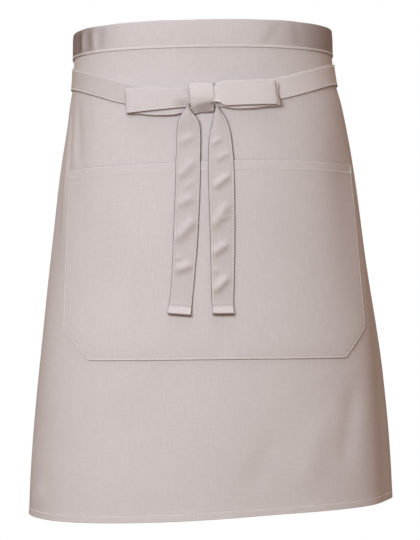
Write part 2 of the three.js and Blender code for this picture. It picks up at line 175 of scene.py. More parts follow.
# Where a tie crosses the knot. aside, rise, wide: shares of the tie's width.
CROSSING = {
    "left": table("aside rise wide", (-0.22, 0.25, 0.42), (0.22, 0.27, 0.42)),
    "right": table("aside rise wide", (-0.22, -0.14, 0.3), (0.22, -0.14, 0.3)),
}

# The bow's loops, by the tie that makes each, out along the back leaf and home along the front
# one. out: share of the loop's reach. rise, wide: shares of the tie's width. ply: tie
# thicknesses off the cloth.
LOOPS = {
    "left": table(
        "out rise ply wide",
        (0.19, 0.2, 1.5, 0.6),
        (0.34, 0.04, 1.8, 0.94),
        (0.6, 0.02, 2, 1),
        (0.86, 0.1, 2, 1),
        (1.015, 0.13, 2.05, 1),
        (1.03, 0.14, 2.5, 1),
        (1.01, 0.15, 2.95, 1),
        (0.99, 0.16, 3.1, 1.01),
        (0.98, 0.18, 4.1, 1.02),
        (0.96, 0.18, 4.7, 1.02),
        (0.86, 0.18, 4.9, 1.03),
        (0.6, 0.17, 4.7, 1.05),
        (0.36, 0.15, 4.5, 1.06),
        (0.27, 0.12, 4.5, 1.02),
        (0.21, 0.07, 4.4, 0.8),
        (0.17, 0.02, 3.8, 0.46),
        (0.1, 0.06, 2.5, 0.4),
        (0.03, 0.1, 2.1, 0.4),
    ),
    "right": table(
        "out rise ply wide",
        (0.19, -0.24, 1.5, 0.6),
        (0.34, -0.2, 1.8, 0.94),
        (0.6, -0.17, 2, 1),
        (0.86, -0.04, 2, 1.05),
        (0.98, -0.03, 2.2, 1.03),
        (1, -0.03, 2.7, 1.03),
        (0.97, -0.03, 3.6, 1.03),
        (0.86, -0.02, 4.2, 1.01),
        (0.6, 0, 4.3, 0.95),
        (0.34, 0, 3.6, 0.85),
        (0.2, 0.01, 3, 0.81),
        (0.14, 0.05, 2.2, 0.7),
        (0.03, 0.1, 2.1, 0.5),
    ),
}

# The hanging tails, by their tie. down: share of the tail's length below the knot's middle.
# aside, wide: shares of the tie's width. ply: tie thicknesses off the pocket.
TAILS = {
    "right": table(
        "down aside ply wide",
        (0.018, -0.42, 0, 0.06),
        (0.038, -0.56, 2, 0.06),
        (0.055, -0.59, 2.1, 0.26),
        (0.076, -0.61, 2, 0.51),
        (0.108, -0.6, 1.4, 0.84),
        (0.15, -0.59, 0.1, 0.97),
        (0.22, -0.61, -0.4, 0.99),
        (0.29, -0.65, 0, 1.01),
        (0.37, -0.67, -0.1, 1.02),
        (0.656, -0.82, 0, 1),
        (0.844, -0.94, 0, 0.93),
        (0.93, -1.02, 0, 0.94),
        (0.97, -1.06, 0.8, 0.95),
        (1, -1.09, 2.4, 0.95),
    ),
    "left": table(
        "down aside ply wide",
        (0.018, 0.42, -0.5, 0.06),
        (0.036, 0.59, 0.7, 0.08),
        (0.05, 0.62, 0.7, 0.15),
        (0.073, 0.64, 0.6, 0.36),
        (0.103, 0.68, 0.4, 0.57),
        (0.143, 0.7, 0, 0.78),
        (0.21, 0.7, -0.4, 0.96),
        (0.29, 0.7, 0, 1.06),
        (0.377, 0.7, -0.1, 1.08),
        (0.656, 0.7, 0, 1.02),
        (0.893, 0.68, 0, 0.93),
        (0.94, 0.68, 0, 0.9),
        (0.975, 0.69, 0.8, 0.88),
        (1, 0.69, 2.4, 0.88),
    ),
}

# The strip that wraps the knot. rise: share of the knot's height. aside, wide: shares of the
# tie's width. ply: as for the loops.
WRAP = table(
    "rise aside ply wide",
    (0.5, 0, 2, 1),
    (0.46, 0, 3.6, 1),
    (0.3, 0, 4.2, 1),
    (0.12, 0, 4.4, 1),
    (0, 0.01, 4.1, 1),
    (-0.12, 0, 3.1, 1),
    (-0.24, 0, 2, 0.99),
    (-0.36, 0.05, 1.1, 0.92),
    (-0.47, 0.1, 0.5, 0.8),
    (-0.48, 0.1, -0.2, 0.78),
    (-0.4, 0.1, -0.4, 0.78),
    (-0.25, 0.06, -0.3, 0.82),
    (0, 0, 0, 0.9),
    (0.25, 0, 0, 0.94),
    (0.45, 0, 0.4, 1),
)

# Creases, each a soft line from one place on the cloth to another. Lengths in millimetres:
# wide is the crease's half width, and deep is below 0 for a dent and above 0 for a ridge.
SKIRT_CREASES = table(
    "arc0 z0 arc1 z1 wide deep",
    (-183, -48, -176, -120, 8, -1.6),
    (-203, -40, -197, -150, 9, -2.2),
    (-160, -50, -152, -95, 7, -0.9),
    (-214, -60, -206, -200, 7, 1.4),
    (4, -527, 9, -519, 1.6, -0.7),
    (-262, -512, -222, -497, 9, 2.2),
    (30, -505, 62, -440, 14, -1.2),
    (96, -500, 118, -420, 18, 2),
    (-70, -510, -92, -430, 16, 1),
    (150, -480, 166, -380, 14, -2.4),
)
BAND_CREASES = table(
    "arc0 z0 arc1 z1 wide deep",
    (-172, 2, -173, 30, 4, -1.3),
    (-161, 0, -162, 28, 3, 1.4),
    (-150, 3, -151, 30, 3.4, -1.4),
    (-139, 0, -141, 25, 3, 1.1),
    (-130, 5, -131, 28, 4, -0.8),
    (60, 3, 78, 28, 5, -0.6),
    (105, 4, 96, 27, 5, -0.7),
)
TAIL_CREASES = {
    "left": table(
        "arc0 z0 arc1 z1 wide deep",
        (-4, -76, -5, -96, 1.8, -2.1),
        (-8, -112, 4, -104, 3, 1.7),
        (-3, -129, 12, -121, 3.4, 1.5),
        (-6, -160, 12, -146, 4, 3),
        (-9, -206, 10, -178, 5, 3.2),
        (-10, -236, 9, -222, 4.4, 3.2),
        (-8, -277, 9, -260, 4.4, 3.4),
        (2, -196, 12, -192, 3, 1.2),
        (-9, -252, -1, -254, 3, 1.2),
    ),
    "right": table(
        "arc0 z0 arc1 z1 wide deep",
        (-44, -110, -26, -100, 4, 1.5),
        (-46, -148, -26, -128, 5, 2.1),
        (-47, -178, -28, -170, 5, 2),
        (-49, -219, -27, -194, 5.4, 3.2),
        (-50, -252, -30, -246, 4.6, 3.3),
        (-50, -236, -44, -240, 3, 1.2),
        (-38, -160, -27, -150, 3, 1),
    ),
}


def along(keys, values, t):
    """Smooth values through a table's rows, read where the key is t."""
    t = np.clip(t, keys[0], keys[-1])
    i = np.clip(np.searchsorted(keys, t) - 1, 0, len(keys) - 2)
    before = np.maximum(np.arange(len(keys)) - 1, 0)
    after = np.minimum(np.arange(len(keys)) + 1, len(keys) - 1)
    slope = (values[after] - values[before]) / (keys[after] - keys[before])
    h = keys[i + 1] - keys[i]
    s = (t - keys[i]) / h
    start = (2 * s + 1) * (1 - s) ** 2 * values[i]
    end = s * s * (3 - 2 * s) * values[i + 1]
    return start + end + h * s * (1 - s) * ((1 - s) * slope[i] - s * slope[i + 1])


def smooth(edge0, edge1, x):
    """A soft step from 0 at the first edge to 1 at the second."""
    t = np.clip((x - edge0) / (edge1 - edge0), 0, 1)
    return t * t * (3 - 2 * t)


def near(distance, reach):
    """1 where the distance is 0, 0.37 where it is the reach, and soon nothing past that."""
    return np.exp(-(distance / reach) ** 2)


def uneven(x, seed=0.0):
    """A gentle wave that doesn't repeat, from about -1 to 1."""
    return (np.sin(x + seed) + np.sin(1.73 * x + 2.1 * seed + 1) + np.sin(0.61 * x + seed + 4)) / 2.2


def form_point(angle, z):
    """A point of the worn form at a polar angle from the front and a height."""
    drop = -z / SKIRT_LENGTH
    read = {name: along(FORM["drop"], FORM[name], drop) for name in FORM}
    side, front = np.sin(angle), np.cos(angle)
    share = np.where(front > 0, FRONT_SHARE, 1 - FRONT_SHARE)
    depth = share * (WAIST_DEPTH + read["spread"] * (HEM_DEPTH - WAIST_DEPTH))
    breadth = WAIST_BREADTH + read["spread"] * (HEM_BREADTH - WAIST_BREADTH)
    power = read["square"]
    across = np.abs(side / (breadth / 2)) ** power + np.abs(front / depth) ** power
    reach = across ** (-1 / power)
    settle = read["tilt"] * side - read["sag"] * (1 - front)
    x = read["shift"] * HALF_WAIST + reach * side
    return np.stack([x, -reach * front, z + settle * HALF_WAIST], axis=-1)


class Girth:
    """The polar angle at an arc from the front centre, looked up on a fine grid."""

    STEP = 1 * MM
    HALF_TURN = 180

    def __init__(self, lowest, highest, reach):
        self.heights = np.arange(lowest, highest, self.STEP)
        self.arcs = np.arange(-reach, reach, self.STEP)
        turn = np.linspace(-math.pi, math.pi, 2 * self.HALF_TURN + 1)
        points = form_point(turn[None, :], self.heights[:, None])
        steps = np.hypot(*np.moveaxis(np.diff(points[..., :2], axis=1), -1, 0))
        runs = np.concatenate([np.zeros((len(steps), 1)), np.cumsum(steps, axis=1)], axis=1)
        self.full = runs[:, -1].copy()
        runs -= runs[:, self.HALF_TURN, None]
        turns = np.concatenate([turn[:-1] - 2 * math.pi, turn, turn[1:] + 2 * math.pi])
        self.angles = np.empty((len(self.heights), len(self.arcs)))
        for row, (run, full) in enumerate(zip(runs, self.full)):
            around = np.concatenate([run[:-1] - full, run, run[1:] + full])
            self.angles[row] = np.interp(self.arcs, around, turns)

    def length(self, z):
        return np.interp(z, self.heights, self.full)

    def angle(self, arc, z):
        arc = arc + HALF_WAIST * along(FORM["drop"], FORM["turn"], -z / SKIRT_LENGTH)
        row = np.clip((z - self.heights[0]) / self.STEP, 0, len(self.heights) - 1.001)
        column = np.clip((arc - self.arcs[0]) / self.STEP, 0, len(self.arcs) - 1.001)
        r, c = row.astype(int), column.astype(int)
        v, u = row - r, column - c
        low = self.angles[r, c] * (1 - u) + self.angles[r, c + 1] * u
        high = self.angles[r + 1, c] * (1 - u) + self.angles[r + 1, c + 1] * u
        return low * (1 - v) + high * v


girth = Girth(-SKIRT_LENGTH - 40 * MM, BAND_HEIGHT + 20 * MM, HALF_PANEL + 300 * MM)


def creased(creases, arc, z):
    """How far a set of creases lifts the cloth at a place."""
    lift = np.zeros(np.broadcast(arc, z).shape)
    for a0, z0, a1, z1, wide, deep in zip(*(column * MM for column in creases.values())):
        length = math.hypot(a1 - a0, z1 - z0)
        share = ((arc - a0) * (a1 - a0) + (z - z0) * (z1 - z0)) / length ** 2
        off = ((arc - a0) * (z1 - z0) - (z - z0) * (a1 - a0)) / length
        past = np.abs(share - 0.5) * 2
        lift += deep * near(off, wide) * (1 - smooth(0.45, 1.25, past))
    return lift


def settled(arc, z):
    """How far the skirt's cloth lies off the form, folds and hollows counted."""
    drop = -z / SKIRT_LENGTH
    lift = creased(SKIRT_CREASES, arc, z)
    for at, wide, start, full, end, deep in zip(*HOLLOWS.values()):
        strength = smooth(start, full, drop) * (1 - smooth(full, end, drop))
        lift -= deep * (WAIST_DEPTH / 2) * strength * near(arc / HALF_PANEL - at, wide)
    loose = smooth(0.1, 0.7, drop) * 0.55 * MM
    return lift + loose * uneven(arc / (27 * MM) + uneven(z / (70 * MM)), 0.7)


def place(arc, z, out, hangs=True):
    """The point at an arc and a height, a distance out from the form or from the hanging cloth."""
    arc, z, out = np.broadcast_arrays(arc, z, out)
    turn, fall = 0.002, 1 * MM
    angle = girth.angle(arc, z)
    round_way = form_point(angle + turn, z) - form_point(angle - turn, z)
    up_way = form_point(angle, z + fall) - form_point(angle, z - fall)
    outward = np.cross(round_way, up_way)
    outward /= np.linalg.norm(outward, axis=-1, keepdims=True)
    if hangs:
        out = out + settled(arc, z)
    return form_point(angle, z) + outward * out[..., None]


# Where mesh lines are packed beside an edge or a row of stitches
CLOSE = np.array([0, 0.2, 0.6, 1.1, 1.8, 2.8]) * MM


def mesh_lines(start, end, pitch, marks=()):
    """Mesh lines from one end to the other, packed closer at the ends and beside each mark."""
    marks = np.array([start, end, *marks])
    close = np.concatenate([m + way * CLOSE for m in marks for way in (-1, 1)])
    count = math.ceil((end - start) / pitch) + 1
    plain = [x for x in np.linspace(start, end, count) if np.abs(marks - x).min() > 1.5 * CLOSE[-1]]
    kept = np.sort(np.concatenate([plain, close[(close >= start) & (close <= end)]]))
    return kept[np.concatenate([[True], np.diff(kept) > CLOSE[1] / 2])]


def rim(distance, half):
    """The share of its half thickness that cloth keeps at a distance from its rounded edge."""
    t = 1 - np.clip(distance / half, 0, 1)
    return np.maximum(np.sqrt(1 - t * t), 0.3)


def groove(distance):
    """How deep a row of stitches presses the cloth's face at a distance from the row."""
    return 0.14 * MM * near(distance, GROOVE_REACH)


def wear_and_painted_light(edge, sewn, worn_and_painted_light=0.9, row_wear_and_painted_shade=0.3, shaded=1.7):
    """How much paler cloth is beside its edges and its stitches, from wear and painted highlight, less
    the painted shade at its very rim; a share below 0 beside the stitches paints shade into their
    groove.
    """
    beside = worn_and_painted_light * near(edge, PALE_EDGE_REACH) + row_wear_and_painted_shade * near(sewn, GROOVE_REACH)
    return beside - shaded * near(edge, RIM_REACH)


def seam_pucker(run, distance, size=PUCKER):
    """The small ripples across a seam."""
    return size * uneven(run / (2.6 * MM)) * near(distance, 4.5 * MM)


class Shell:
    """A closed piece of cloth: an outer and an inner face over a grid, joined round the edge."""

    def __init__(self, outer, inner, uv, seam, ring=False):
        rows, columns = outer.shape[:2]
        self.points = np.concatenate([outer.reshape(-1, 3), inner.reshape(-1, 3)])
        self.uv = np.concatenate([uv.reshape(-1, 2)] * 2)
        self.seam = np.concatenate([seam.ravel()] * 2)
        index = np.arange(rows * columns).reshape(rows, columns)
        if ring:
            index = np.concatenate([index, index[:1]])
        back = index + rows * columns
        quads = [self.quads(index), self.quads(back)[:, ::-1]]
        edges = [(index[:, 0], back[:, 0]), (back[:, -1], index[:, -1])]
        if not ring:
            edges += [(back[0], index[0]), (index[-1], back[-1])]
        quads += [self.quads(np.stack(edge)) for edge in edges]
        self.faces = np.concatenate(quads)

    @staticmethod
    def quads(index):
        a, b, c, d = index[:-1, :-1], index[:-1, 1:], index[1:, 1:], index[1:, :-1]
        return np.stack([a, b, c, d], axis=-1).reshape(-1, 4)


class Threads:
    """Rows of stitches, each thread a small bead that dips into the cloth at both ends."""

    # A thread's rings of SIDES points: how far along it each lies, its height and girth in radii
    SIDES = 5
    ALONG = np.array([0.16, 0.5, 0.84])
    HEIGHT = np.array([0.35, 0.75, 0.35])
    GIRTH = np.array([0.85, 1, 0.85])

    def __init__(self):
        self.starts, self.ends, self.normals = [], [], []

    def row(self, line, normals):
        """Stitches along a fine line of points on a face of the cloth."""
        run = np.concatenate([[0], np.cumsum(np.linalg.norm(np.diff(line, axis=0), axis=1))])
        count = int(run[-1] // THREAD_PITCH)
        first = (run[-1] - (count - 1) * THREAD_PITCH - THREAD_LENGTH) / 2
        starts = first + np.arange(count) * THREAD_PITCH
        read = lambda values, at: np.stack([np.interp(at, run, column) for column in values.T], 1)
        self.starts.append(read(line, starts))
        self.ends.append(read(line, starts + THREAD_LENGTH))
        self.normals.append(read(normals, starts + THREAD_LENGTH / 2))

    def tack(self, line, normals, width):
        """A bar tack: threads packed close across a short line."""
        ways = np.gradient(line, axis=0)
        ways /= np.linalg.norm(ways, axis=1, keepdims=True)
        across = np.cross(normals, ways)
        self.starts.append(line - across * width / 2)
        self.ends.append(line + across * width / 2)
        self.normals.append(normals)

    def shell(self):
        """All the threads as closed meshes."""
        starts, ends, up = (np.concatenate(x) for x in (self.starts, self.ends, self.normals))
        up = up / np.linalg.norm(up, axis=1, keepdims=True)
        way = ends - starts
        side = np.cross(up, way)
        side /= np.linalg.norm(side, axis=1, keepdims=True)
        turns = (np.arange(self.SIDES) * 2 * math.pi / self.SIDES)[None, :, None]
        spokes = np.cos(turns) * side[:, None] + np.sin(turns) * up[:, None]
        rings = [starts[:, None] - up[:, None] * THREAD_RADIUS / 2]
        for share, height, girth_share in zip(self.ALONG, self.HEIGHT, self.GIRTH):
            middle = starts + share * way + up * height * THREAD_RADIUS
            reach = girth_share * THREAD_RADIUS
            rings.append(middle[:, None] + reach * spokes)
        rings.append(ends[:, None] - up[:, None] * THREAD_RADIUS / 2)
        points = np.concatenate(rings, axis=1)
        self.points = points.reshape(-1, 3)
        last = 1 + len(self.ALONG) * self.SIDES
        one = []
        for k in range(self.SIDES):
            k2 = (k + 1) % self.SIDES
            one.append((0, 1 + k2, 1 + k, 1 + k))
            for ring in range(len(self.ALONG) - 1):
                a, b = 1 + ring * self.SIDES, 1 + (ring + 1) * self.SIDES
                one.append((a + k, a + k2, b + k2, b + k))
            a = 1 + (len(self.ALONG) - 1) * self.SIDES
            one.append((last, a + k, a + k2, a + k2))
        offsets = np.arange(len(starts)) * points.shape[1]
        self.faces = (np.array(one)[None] + offsets[:, None, None]).reshape(-1, 4)
        self.uv = self.points[:, [0, 2]]
        self.seam = np.zeros(len(self.points))
        return self


def new_object(name, data):
    """An object in the scene for a mesh, a camera or a lamp."""
    thing = bpy.data.objects.new(name, data)
    bpy.context.scene.collection.objects.link(thing)
    return thing


def piece(name, shells, finish, stands_for=None):
    """One object from closed shells, with its cloth map and its finish, which hides the model's part
    that it stands for.
    """
    sizes = np.cumsum([0] + [len(shell.points) for shell in shells])
    faces = [
        [*dict.fromkeys(face)]
        for shell, first in zip(shells, sizes)
        for face in (shell.faces + first).tolist()
    ]
    mesh = bpy.data.meshes.new(name)
    mesh.from_pydata(np.concatenate([shell.points for shell in shells]).tolist(), [], faces)
    body = bmesh.new()
    body.from_mesh(mesh)
    bmesh.ops.recalc_face_normals(body, faces=body.faces)
    body.to_mesh(mesh)
    body.free()
    corner = np.empty(len(mesh.loops), np.int32)
    mesh.loops.foreach_get("vertex_index", corner)
    uv = np.concatenate([shell.uv for shell in shells])[corner]
    mesh.uv_layers.new(name="cloth").data.foreach_set("uv", uv.astype(np.float32).ravel())
    # Each point's wear and painted light and shade, for the finish to read
    seam = np.concatenate([shell.seam for shell in shells]).astype(np.float32)
    mesh.attributes.new("seam", "FLOAT", "POINT").data.foreach_set("value", seam)
    mesh.polygons.foreach_set("use_smooth", np.ones(len(mesh.polygons), bool))
    mesh.materials.append(finish)
    thing = new_object(name, mesh)
    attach(thing, "root")
    if stands_for:
        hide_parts(stands_for)
    return thing


def sheet_shell(arcs, heights, face, back, seam):
    """Cloth over a grid of arcs and heights, between two surfaces that lie off the hanging form."""
    uv = np.stack(np.broadcast_arrays(arcs, heights), axis=-1)
    return Shell(place(arcs, heights, face), place(arcs, heights, back), uv, seam)


def face_row(threads, arc, z, out, inner=False):
    """Stitches along a line of places on a cloth's outer face, or on its inner one."""
    arc, z, out = np.broadcast_arrays(arc, z, out)
    line = place(arc, z, out)
    normals = place(arc, z, out + 1 * MM) - line
    threads.row(line, -normals if inner else normals)


def fine(start, end, pitch=1 * MM):
    """Even steps from one value to the other, none longer than the pitch."""
    return np.linspace(start, end, math.ceil(abs(end - start) / pitch) + 1)


def skirt(finish, thread):
    """The long panel with its turned side and bottom hems."""
    hem_top = BOTTOM_HEM - SKIRT_LENGTH
    bottom_row = hem_top - 1.4 * MM
    side_row = HALF_PANEL - SIDE_HEM + 1.2 * MM
    top = BAND_HEIGHT - CLOTH - GAP
    arcs = mesh_lines(-HALF_PANEL, HALF_PANEL, 4.6 * MM, (-side_row, side_row))[None, :]
    heights = mesh_lines(-SKIRT_LENGTH, top, 4.6 * MM, (bottom_row, 0))[:, None]
    beside = HALF_PANEL - np.abs(arcs)
    below = heights + SKIRT_LENGTH
    edge = np.minimum(beside, below)
    folded = np.maximum(
        1 - smooth(0, 1.5 * MM, heights - hem_top),
        (1 - smooth(-0.75 * MM, 0.75 * MM, beside - SIDE_HEM)) * smooth(0, -8 * MM, heights),
    )
    sewn = np.minimum(np.abs(heights - bottom_row), np.abs(np.abs(arcs) - side_row))
    rounding = rim(edge, CLOTH / 2)
    pucker = seam_pucker(arcs, heights - bottom_row) + seam_pucker(heights, np.abs(arcs) - side_row)
    plump = 0.25 * MM * folded * (1 - near(sewn, 2 * MM))
    middle = CLOTH / 2 - HEM_EXTRA / 2 * folded + pucker
    half = (CLOTH + HEM_EXTRA * folded) / 2
    face = middle + (half + plump) * rounding - groove(sewn)
    back = middle - half * rounding + groove(sewn)
    # Paler edges and stitches, partly wear and partly painted highlight, with painted shade at the very
    # rim
    panel = sheet_shell(arcs, heights, face, back, wear_and_painted_light(edge, sewn))
    cloth = piece("skirt", [panel], finish, "skirt_panel")

    rows = Threads()
    hem = fine(-HALF_PANEL + INSET, HALF_PANEL - INSET)
    upright = fine(bottom_row, -2 * MM)
    for inner, out in ((False, CLOTH - SUNK), (True, -HEM_EXTRA + SUNK)):
        face_row(rows, hem, bottom_row, out + seam_pucker(hem, 0), inner)
        for way in (-1, 1):
            face_row(rows, way * side_row, upright, out + seam_pucker(upright, 0), inner)
    piece("skirt_stitching", [rows.shell()], thread)


def band_painted_shade(arc):
    """How much painted shade darkens the band where it is drawn in at the wearer's sides."""
    left = 0.9 * near(arc + 188 * MM, 50 * MM)
    right = 0.66 * near(arc - 156 * MM, 66 * MM)
    return left + right


def waist_band(finish, thread):
    """The band, one strip folded over the panel's top edge and stitched through."""
    outer, inner = BAND_FACE - CLOTH / 2, -GAP - CLOTH / 2
    turn = (outer - inner) / 2
    roof = BAND_HEIGHT - CLOTH / 2 - turn
    sewn_at = 2.3 * MM
    up = mesh_lines(0, roof, 2.6 * MM, (sewn_at,))
    bend = np.linspace(0, math.pi, 9)[1:-1]

    def round_fold(before, over, after):
        """A column with one value up the outer face, then those over the fold, then one inside."""
        return np.concatenate([np.full(len(up), before), over, np.full(len(up), after)])[:, None]

    z = np.concatenate([up, roof + turn * np.sin(bend), up[::-1]])[:, None]
    out = round_fold(outer, (outer + inner) / 2 + turn * np.cos(bend), inner)
    lean = round_fold(0, np.sin(bend), 0)
    facing = round_fold(1, np.cos(bend), -1)
    arcs = mesh_lines(-HALF_PANEL, HALF_PANEL, 3.2 * MM)[None, :]

    sewn = np.abs(z - sewn_at)
    edge = np.minimum(z, HALF_PANEL - np.abs(arcs))
    rounding = rim(edge, CLOTH / 2)
    shared = seam_pucker(arcs, sewn, THICK_PUCKER) + creased(BAND_CREASES, arcs, z)
    skew = 0.16 * MM * uneven((arcs + 0.8 * z) / (5 * MM), 2) * smooth(0, 8 * MM, z)
    belly = 0.5 * MM * np.sin(math.pi * np.clip(z / BAND_HEIGHT, 0, 1)) * np.maximum(facing, 0)
    press = groove(sewn) * np.abs(facing)
    reach = CLOTH / 2 * rounding
    rise = 0.25 * MM * uneven(arcs / (13 * MM), 1) * smooth(0.5, 1, z / BAND_HEIGHT)
    middle = out + shared + skew + belly
    steps = np.hypot(np.diff(z, axis=0, prepend=z[:1]), np.diff(out, axis=0, prepend=out[:1]))
    folded = np.cumsum(steps, axis=0)
    # Painted shade at the band's rim and where it is drawn in at the sides, and on its creases painted
    # shade in the dents and painted highlight on the ridges
    tone = 0.2 * creased(BAND_CREASES, arcs, z) / MM
    strip = Shell(
        place(arcs, z + rise + lean * reach, middle + facing * (reach - press)),
        place(arcs, z + rise - lean * reach, middle - facing * (reach - press)),
        np.stack(np.broadcast_arrays(arcs, folded), axis=-1),
        wear_and_painted_light(edge, sewn, shaded=0.8) - band_painted_shade(arcs) + tone,
    )
    cloth = piece("waist_band", [strip], finish, "waistband")

    rows = Threads()
    arc = fine(-HALF_PANEL + INSET, HALF_PANEL - INSET)
    lift = seam_pucker(arc, 0, THICK_PUCKER) + creased(BAND_CREASES, arc, sewn_at)
    for inner, face_at in ((False, BAND_FACE - SUNK), (True, -GAP - CLOTH + SUNK)):
        face_row(rows, arc, sewn_at, face_at + lift, inner)
    upright = fine(sewn_at, BAND_HEIGHT - 3 * MM)
    for way in (-1, 1):
        face_row(rows, way * (HALF_PANEL - INSET), upright, BAND_FACE)
    piece("band_stitching", [rows.shell()], thread)


def pocket_bottom(arc):
    """The height of the pocket's lower edge, which its two cut corners raise."""
    past = np.clip((np.abs(arc) - HALF_POCKET + CORNER_WIDTH) / CORNER_WIDTH, 0, 1)
    return -POCKET_DROP - POCKET_HEIGHT + past * CORNER_HEIGHT


def pocket_edge(arc, z):
    """The distance from a place on the pocket to its nearest side, corner or lower edge."""
    beside = HALF_POCKET - np.abs(arc)
    below = z + POCKET_DROP + POCKET_HEIGHT
    slant = math.hypot(CORNER_WIDTH, CORNER_HEIGHT)
    corner = (beside * CORNER_HEIGHT + below * CORNER_WIDTH - CORNER_WIDTH * CORNER_HEIGHT) / slant
    return np.minimum(np.minimum(beside, below), corner)


def pocket_lift(arc, z):
    """How far the pocket's bag stands off the skirt."""
    edge = pocket_edge(arc, z)
    below = z + POCKET_DROP + POCKET_HEIGHT
    parted = 1 - near(arc - DIVIDER_ARC, 16 * MM)
    sag = smooth(0, 14 * MM, edge) * near(below, 60 * MM) * parted
    return 1.1 * MM * sag + 0.25 * MM * smooth(0, 6 * MM, edge)


def pocket(finish, thread):
    """The patch pocket: turned top hem, cut corners, edge stitching and a sewn divider."""
    top = -POCKET_DROP
    hem_row = top - POCKET_HEM + 1 * MM
    straight = HALF_POCKET - CORNER_WIDTH
    arcs = mesh_lines(
        -HALF_POCKET, HALF_POCKET, 4 * MM,
        (-HALF_POCKET + INSET, -straight, DIVIDER_ARC, straight, HALF_POCKET - INSET),
    )
    rows_at = (POCKET_HEM - 1 * MM, POCKET_HEM, POCKET_HEIGHT - INSET)
    downs = mesh_lines(0, POCKET_HEIGHT, 4 * MM, rows_at)
    depth = (top - pocket_bottom(arcs))[None, :]
    kept, moved = 30 * MM, 20 * MM
    down = downs[:, None]
    squeezed = kept + (down - kept) * (depth - kept - moved) / (POCKET_HEIGHT - kept - moved)
    low = depth - (POCKET_HEIGHT - down)
    down = np.where(down < kept, down, np.where(down > POCKET_HEIGHT - moved, low, squeezed))
    z = top - down
    arcs = arcs[None, :]

    beside = pocket_edge(arcs, z)
    edge = np.maximum(np.minimum(beside, down), 0)
    sewn = np.minimum(np.abs(beside - INSET), np.abs(z - hem_row))
    sewn = np.minimum(sewn, np.abs(arcs - DIVIDER_ARC))
    hemmed = 1 - smooth(-1.5 * MM, 1 * MM, down - POCKET_HEM)
    turned = POCKET_FOLD * (1 - smooth(6 * MM, 8 * MM, beside))
    rounding = rim(edge, CLOTH / 2)
    ripple = seam_pucker(arcs + z, beside - INSET, THICK_PUCKER)
    ripple += seam_pucker(arcs, z - hem_row) + seam_pucker(z, arcs - DIVIDER_ARC)
    half = (CLOTH + POCKET_TURN * hemmed) / 2
    middle = CLOTH + GAP + half + pocket_lift(arcs, z) + ripple + POCKET_EASE
    face = middle + (half + turned) * rounding - groove(sewn)
    back = middle - half * rounding
    # Paler edges and stitches, partly wear and partly painted highlight, with painted shade at the very
    # rim
    patch = sheet_shell(arcs, z, face, back, wear_and_painted_light(edge, sewn))
    cloth = piece("patch_pocket", [patch], finish, "pocket")

    rows = Threads()
    surface = CLOTH + GAP + CLOTH + POCKET_EASE

    def sew(arc, height, extra=0.0):
        fold = POCKET_FOLD * (pocket_edge(arc, height) < 7 * MM)
        face_row(rows, arc, height, surface + pocket_lift(arc, height) + extra + fold)

    corners = [
        (-HALF_POCKET + INSET, top - 2 * MM),
        (-HALF_POCKET + INSET, pocket_bottom(HALF_POCKET) + INSET / 2),
        (-straight + INSET / 2, pocket_bottom(0) + INSET),
        (straight - INSET / 2, pocket_bottom(0) + INSET),
        (HALF_POCKET - INSET, pocket_bottom(HALF_POCKET) + INSET / 2),
        (HALF_POCKET - INSET, top - 2 * MM),
    ]
    for (a0, z0), (a1, z1) in zip(corners, corners[1:]):
        share = fine(0, 1, 1 * MM / math.hypot(a1 - a0, z1 - z0))
        sew(a0 + share * (a1 - a0), z0 + share * (z1 - z0))
    arc = fine(-HALF_POCKET + 2 * INSET, HALF_POCKET - 2 * INSET)
    sew(arc, hem_row, POCKET_TURN)
    sew(DIVIDER_ARC, fine(hem_row, pocket_bottom(0) + INSET))
    height = fine(top - 1 * MM, top - POCKET_HEM, 0.6 * MM)
    face_at = surface + POCKET_TURN + 0.5 * MM
    for way in (-1, 1):
        arc = way * (HALF_POCKET - INSET)
        line = place(arc, height, face_at)
        rows.tack(line, place(arc, height, face_at + MM) - line, 2 * MM)
    piece("pocket_stitching", [rows.shell()], thread)


def strap_points(at):
    """The points at places that are each an arc, a z and an out."""
    return place(at[..., 0], at[..., 1], at[..., 2], False)


